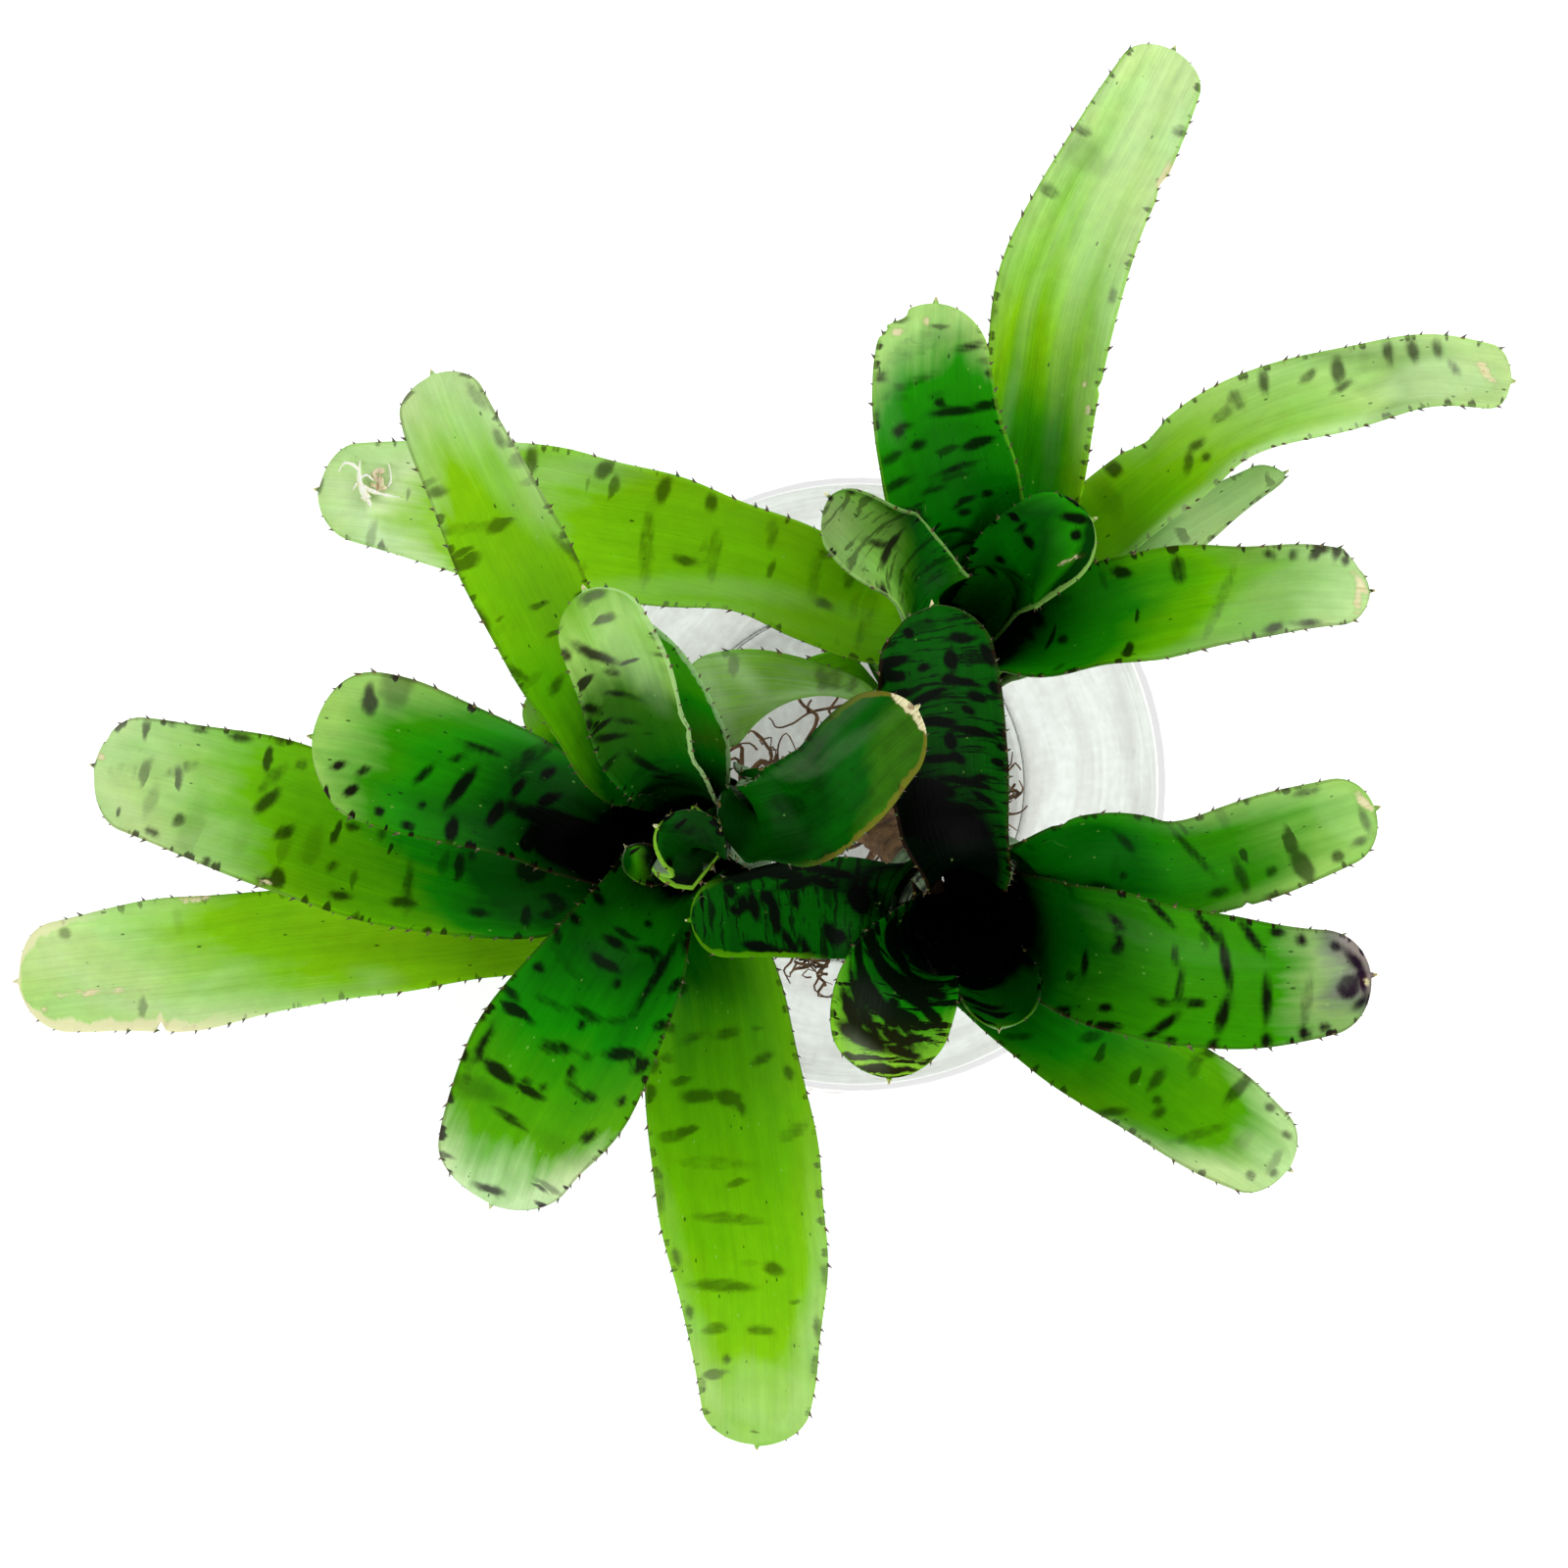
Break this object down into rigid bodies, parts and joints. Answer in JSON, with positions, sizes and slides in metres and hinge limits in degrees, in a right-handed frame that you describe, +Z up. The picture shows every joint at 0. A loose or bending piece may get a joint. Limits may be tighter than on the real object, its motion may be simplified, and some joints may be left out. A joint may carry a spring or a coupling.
{
  "type": "neoregelia bromeliad",
  "caption": "Clump of joined bromeliad rosettes with broad spined strap leaves, standing bare-rooted in a round clear glass bowl.",
  "frame": {"origin": "middle of the bowl's flat foot, on the surface it stands on", "axes": "+Z up; -X towards the left rosette, -Y towards the front one, +Y towards the back one; the widest spread of leaves lies along X"},
  "size_m": [0.3282, 0.3082, 0.1741],
  "materials": {
    "clear_glass": "clear and smooth",
    "brown_bark": "rough, fibrous",
    "dark_leaf": "leathery, satin, with dark cross bars",
    "green_leaf": "leathery, satin, with dark cross bars"
  },
  "bodies": {
    "root": {"bowl": "clear_glass", "rootstock": "brown_bark", "leaf_left_01": "green_leaf", "leaf_left_02": "dark_leaf", "leaf_left_03": "green_leaf", "leaf_left_04": "green_leaf", "leaf_left_05": "green_leaf", "leaf_left_06": "dark_leaf", "leaf_left_07": "green_leaf", "leaf_left_08": "green_leaf", "leaf_left_09": "dark_leaf", "leaf_left_10": "green_leaf", "leaf_left_11": "dark_leaf", "leaf_left_12": "dark_leaf", "leaf_front_01": "dark_leaf", "leaf_front_02": "dark_leaf", "leaf_front_03": "dark_leaf", "leaf_front_04": "dark_leaf", "leaf_front_05": "green_leaf", "leaf_front_06": "dark_leaf", "leaf_front_07": "dark_leaf", "leaf_back_01": "green_leaf", "leaf_back_02": "dark_leaf", "leaf_back_03": "dark_leaf", "leaf_back_04": "green_leaf", "leaf_back_05": "green_leaf", "leaf_back_06": "dark_leaf", "leaf_back_07": "dark_leaf", "leaf_back_08": "dark_leaf", "leaf_back_09": "green_leaf"}
  },
  "joints": []
}
